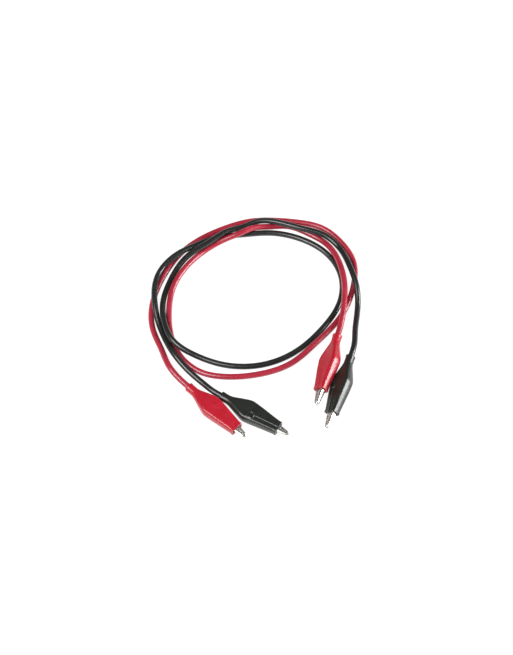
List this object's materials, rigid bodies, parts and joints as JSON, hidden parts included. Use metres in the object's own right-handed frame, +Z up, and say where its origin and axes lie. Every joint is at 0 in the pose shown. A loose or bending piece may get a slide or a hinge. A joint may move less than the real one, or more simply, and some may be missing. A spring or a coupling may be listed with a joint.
{
  "type": "alligator clip lead",
  "caption": "Pair of insulated test leads, red and black, each a thin flexible cable with a spring-closed toothed alligator clip in a soft sleeve at both ends.",
  "frame": {"origin": "on the table, under the middle of the box round the four clips", "axes": "+Z up from the table; +X from the left clips to the right clips; +Y from the clips towards the far side of the cable loops"},
  "size_m": [0.135, 0.1613, 0.0132],
  "materials": {
    "red_boot": "satin",
    "black_boot": "satin",
    "red_insulation": "satin",
    "black_insulation": "satin",
    "nickel_steel": "nickel plated",
    "spring_steel": "bright wire",
    "copper": "bright strands"
  },
  "bodies": {
    "root": {"red_left_boot": "red_boot", "red_left_fixed_jaw": "nickel_steel", "red_left_rivet": "nickel_steel", "red_left_spring": "spring_steel", "red_left_conductor": "copper", "black_left_boot": "black_boot", "black_left_fixed_jaw": "nickel_steel", "black_left_rivet": "nickel_steel", "black_left_spring": "spring_steel", "black_left_conductor": "copper", "red_right_boot": "red_boot", "red_right_fixed_jaw": "nickel_steel", "red_right_rivet": "nickel_steel", "red_right_spring": "spring_steel", "red_right_conductor": "copper", "black_right_boot": "black_boot", "black_right_fixed_jaw": "nickel_steel", "black_right_rivet": "nickel_steel", "black_right_spring": "spring_steel", "black_right_conductor": "copper", "red_cable": "red_insulation", "black_cable": "black_insulation"},
    "red_left_jaw": {"red_left_moving_jaw": "nickel_steel"},
    "black_left_jaw": {"black_left_moving_jaw": "nickel_steel"},
    "red_right_jaw": {"red_right_moving_jaw": "nickel_steel"},
    "black_right_jaw": {"black_right_moving_jaw": "nickel_steel"}
  },
  "joints": [
    {"name": "red_left_hinge", "type": "hinge", "parent": "root", "child": "red_left_jaw", "pos_m": [-0.03329, -0.01362, 0.0038], "axis": [0, 0, -1], "range_deg": [0, 19], "stiffness_Nm_per_rad": 0.115, "springref_deg": -29.79, "deforming": ["red_left_boot", "red_left_spring"]},
    {"name": "black_left_hinge", "type": "hinge", "parent": "root", "child": "black_left_jaw", "pos_m": [-0.01383, -0.02053, 0.0038], "axis": [0, 0, 1], "range_deg": [0, 19], "stiffness_Nm_per_rad": 0.115, "springref_deg": -29.79, "deforming": ["black_left_boot", "black_left_spring"]},
    {"name": "red_right_hinge", "type": "hinge", "parent": "root", "child": "red_right_jaw", "pos_m": [0.03363, 0.01184, 0.00512], "axis": [-0.6317, 0.224, 0.7421], "range_deg": [0, 19], "stiffness_Nm_per_rad": 0.115, "springref_deg": -29.79, "deforming": ["red_right_boot", "red_right_spring"]},
    {"name": "black_right_hinge", "type": "hinge", "parent": "root", "child": "black_right_jaw", "pos_m": [0.04061, -0.00331, 0.00489], "axis": [-0.636, 0.2079, 0.7431], "range_deg": [0, 19], "stiffness_Nm_per_rad": 0.115, "springref_deg": -29.79, "deforming": ["black_right_boot", "black_right_spring"]}
  ]
}
